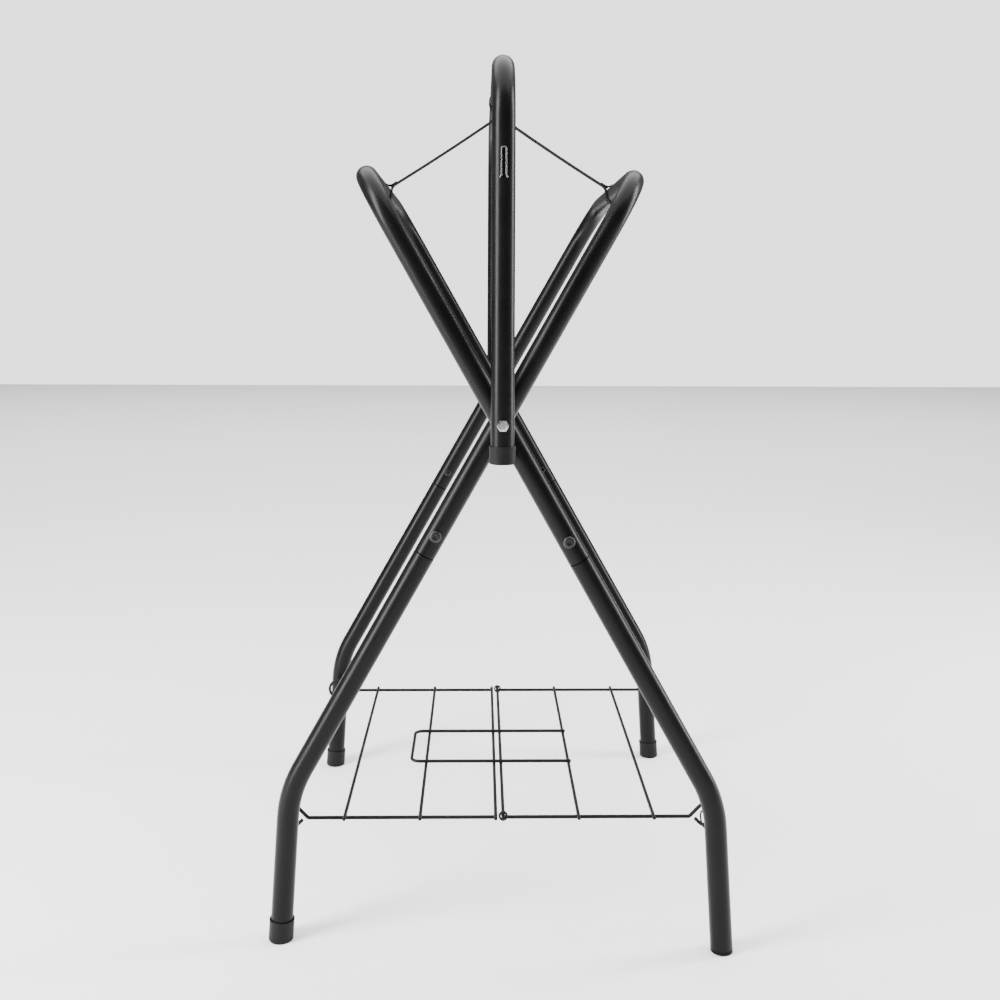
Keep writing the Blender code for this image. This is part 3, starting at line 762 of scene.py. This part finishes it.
def arcPoints(centre, radius, start, stop):
    # start and stop are in degrees
    count = max(3, round(abs(stop - start) / straps["arcStep"]))
    for step in range(count + 1):
        turn = radians(start + (stop - start) * step / count)
        yield Vector((centre.x + radius * cos(turn), centre.y + radius * sin(turn)))


def eased(points):
    # cuts each corner of the path a little, so the webbing bends softly
    softer = [points[0]]
    for one, two in zip(points, points[1:]):
        softer += [one.lerp(two, 0.25), one.lerp(two, 0.75)]
    return softer + [points[-1]]


def makeRibbon(name, path, replaced, body=None):
    # webbing drawn out from a row of points across its width, with its length kept as a UV
    bm = bmesh.new()
    along = bm.verts.layers.float.new("along")
    verts, distance, before = [], 0.0, None
    for point in path:
        distance += (point - before).length if before else 0.0
        before = point
        vert = bm.verts.new((point.x, -straps["width"] / 2, point.y))
        vert[along] = distance
        verts.append(vert)
    edges = [bm.edges.new(pair) for pair in zip(verts, verts[1:])]
    for _ in range(straps["strips"]):
        edges = runRing(bm, edges, (0, straps["width"] / straps["strips"], 0))
    uv = bm.loops.layers.uv.new("UVMap")
    for face in bm.faces:
        for loop in face.loops:
            loop[uv].uv = (loop.vert[along], loop.vert.co.y)
    bmesh.ops.remove_doubles(bm, verts=bm.verts, dist=mergeGap)
    mesh = bpy.data.meshes.new(name)
    bm.to_mesh(mesh)
    bm.free()
    mesh.materials.append(webbing)
    mesh.shade_smooth()
    piece = bpy.data.objects.new(name, mesh)
    bpy.context.scene.collection.objects.link(piece)
    thick = piece.modifiers.new("thickness", "SOLIDIFY")
    thick.thickness = straps["thick"]
    thick.offset = 0
    soft = piece.modifiers.new("soft edge", "BEVEL")
    soft.width = straps["edge"]
    soft.segments = straps["edgeSteps"]
    soft.limit_method = "ANGLE"
    soft.angle_limit = straps["edgeAngle"]
    if body:
        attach(piece, body)
    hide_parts(*replaced)
    return piece


def makeStitches(name, at, along, normal):
    # a sewn box: four rows of short raised threads on both faces of the webbing
    bm = bmesh.new()
    half = straps["width"] / 2 - stitching["margin"]
    thread, row, bar = stitching["thread"], stitching["rows"], stitching["bars"]
    across = Vector((0, 1, 0))
    lift = straps["thick"] / 2 + thread * stitching["proud"]
    count = int(2 * half / stitching["pitch"])
    spots = []
    for number in range(count + 1):
        y = -half + 2 * half * number / count
        spots += [(at + along * offset + across * y, across) for offset in (-row, row)]
    for offset in (-bar, bar):
        spots += [(at + along * offset + across * y, along) for y in (-half, half)]
    shape = Matrix.Diagonal((thread, thread, stitching["pitch"] * stitching["length"], 1))
    for spot, heading in spots:
        turn = heading.to_track_quat("Z", "Y").to_matrix().to_4x4()
        for face in (-1, 1):
            place = Matrix.Translation(spot + normal * (face * lift))
            bmesh.ops.create_icosphere(bm, subdivisions=1, radius=1, matrix=place @ turn @ shape)
    return finishPiece(name, bm, threadCoat, None)


def makeCentreLoop():
    half = straps["thick"] / 2 + straps["gap"] / 2
    bottom, top = straps["neck"], straps["neck"] + straps["neckHeight"]
    ringR = ridge["radius"] + straps["gap"] + straps["thick"] / 2
    path = [Vector((-half, bottom)), Vector((-half, top))]
    path += list(arcPoints(Vector((0, ridgeTop)), ringR, *straps["loopTurn"]))
    path += [Vector((half, top)), Vector((half, bottom))]
    makeRibbon("strapCentreLoop", eased(path), ["strap_centre_loop"], "ridge")


def makeSideStrap(node, name):
    # the path is drawn for a rail on the right, and side puts it on its own side
    side = -sideFrames["side"][name]
    rail = onLeg(name, -sideFrames["railReach"], 0)
    beside = (straps["thick"] + straps["gap"]) * 1.5
    start = Vector((beside, straps["neck"] + straps["neckStart"]))
    centre = Vector((side * rail.x, rail.z))
    toward = (start - centre).normalized()
    lean = degrees(atan2(toward.y, toward.x))
    ringR = sideFrames["radius"] + straps["gap"] + straps["thick"] / 2
    touch = degrees(acos(ringR / straps["junction"]))
    joint = centre + toward * straps["junction"]
    under = Vector((toward.y, -toward.x)) * (straps["thick"] + straps["doubling"])
    outerLow = Vector((1, -1)).normalized()
    path = []
    for step in range(straps["runSteps"] + 1):
        share = step / straps["runSteps"]
        path.append(start.lerp(joint, share) + Vector((0, -straps["sag"] * sin(pi * share))))
    for point in arcPoints(centre, ringR, lean + touch, lean + 360 - touch):
        out = (point - centre).normalized()
        droop = max(0.0, out.dot(outerLow)) ** 3  # slack hangs low on the outer side
        path.append(point + out * straps["slack"] * droop)
    path += [joint + under + toward * reach for reach in straps["overlap"]]
    path = eased(path)
    pieceName = node.replace("_l", "L").replace("_r", "R")
    piece = makeRibbon(pieceName, [Vector((side * p.x, p.y)) for p in path], [node])
    sewn = joint + toward * straps["sewnAt"] + under / 2
    along = Vector((side * toward.x, 0, toward.y))
    normal = Vector((-side * toward.y, 0, toward.x))
    stitchName = node.replace("strap_", "stitches_")
    stitches = makeStitches(stitchName, Vector((side * sewn.x, 0, sewn.y)), along, normal)
    # the strap and its stitches have their placement baked into the mesh, on no body
    for part in (piece, stitches):
        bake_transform(part)
    flat = sum((two - one).length for one, two in zip(path, path[1:]))
    print(node, "cut length", round(flat, 4))


makeCentreLoop()
makeSideStrap("strap_left", "a")
makeSideStrap("strap_right", "b")
print("straps sewn")


studio = {
    "floorSize": 16.0, "floorHeight": -0.5 * mm, "surround": 0.3, "backdrop": 2.3,
    "camera": (-0.0246, -1.4584, 0.6958), "yaw": -0.0182, "roll": -0.0044, "lens": 40.16,
    "sensor": 36, "shift": -0.1964,
    # name, place, aimed at, width, height, watts
    "lamps": (
        ("keyLamp", (-1.7, -1.0, 1.2), (0, 0, 0.5), 0.7, 2.2, 150),
        ("fillLamp", (1.9, 0.2, 1.1), (0, 0, 0.5), 0.5, 1.8, 70),
        ("topLamp", (0.0, 2.0, 6.0), (0, 2.0, 0), 11.0, 11.0, 1600),
    ),
}


def makeFloor():
    bm = bmesh.new()
    lowered = Matrix.Translation((0, 0, studio["floorHeight"]))
    bmesh.ops.create_grid(bm, x_segments=1, y_segments=1, size=studio["floorSize"] / 2, matrix=lowered)
    mesh = bpy.data.meshes.new("floor")
    bm.to_mesh(mesh)
    bm.free()
    mesh.materials.append(floorFinish())
    floor = bpy.data.objects.new("floor", mesh)
    bpy.context.scene.collection.objects.link(floor)


def addLamp(name, place, target, width, height, power):
    light = bpy.data.lights.new(name, "AREA")
    light.shape = "RECTANGLE"
    light.size = width
    light.size_y = height
    light.energy = power
    lamp = bpy.data.objects.new(name, light)
    lamp.location = place
    lamp.rotation_euler = (Vector(target) - Vector(place)).to_track_quat("-Z", "Y").to_euler()
    bpy.context.scene.collection.objects.link(lamp)


def makeWorld():
    # a bright plain backdrop, but a dimmer surround to light the object
    world = bpy.data.worlds.new("studio")
    world.use_nodes = True
    tree = world.node_tree
    seen = addNode(tree, "ShaderNodeLightPath").outputs["Is Camera Ray"]
    strength = spread(tree, seen, studio["surround"], studio["backdrop"], usual=(0, 1))
    tree.nodes["Background"].inputs["Color"].default_value = (1, 1, 1, 1)
    tree.links.new(strength, tree.nodes["Background"].inputs["Strength"])
    bpy.context.scene.world = world


def addCamera():
    camera = bpy.data.cameras.new("camera")
    camera.lens = studio["lens"]
    camera.sensor_width = studio["sensor"]
    camera.shift_y = studio["shift"]
    holder = bpy.data.objects.new("camera", camera)
    holder.location = studio["camera"]
    holder.rotation_euler = (pi / 2, studio["roll"], studio["yaw"])
    bpy.context.scene.collection.objects.link(holder)
    bpy.context.scene.camera = holder


makeFloor()
makeWorld()
for lampSettings in studio["lamps"]:
    addLamp(*lampSettings)
addCamera()
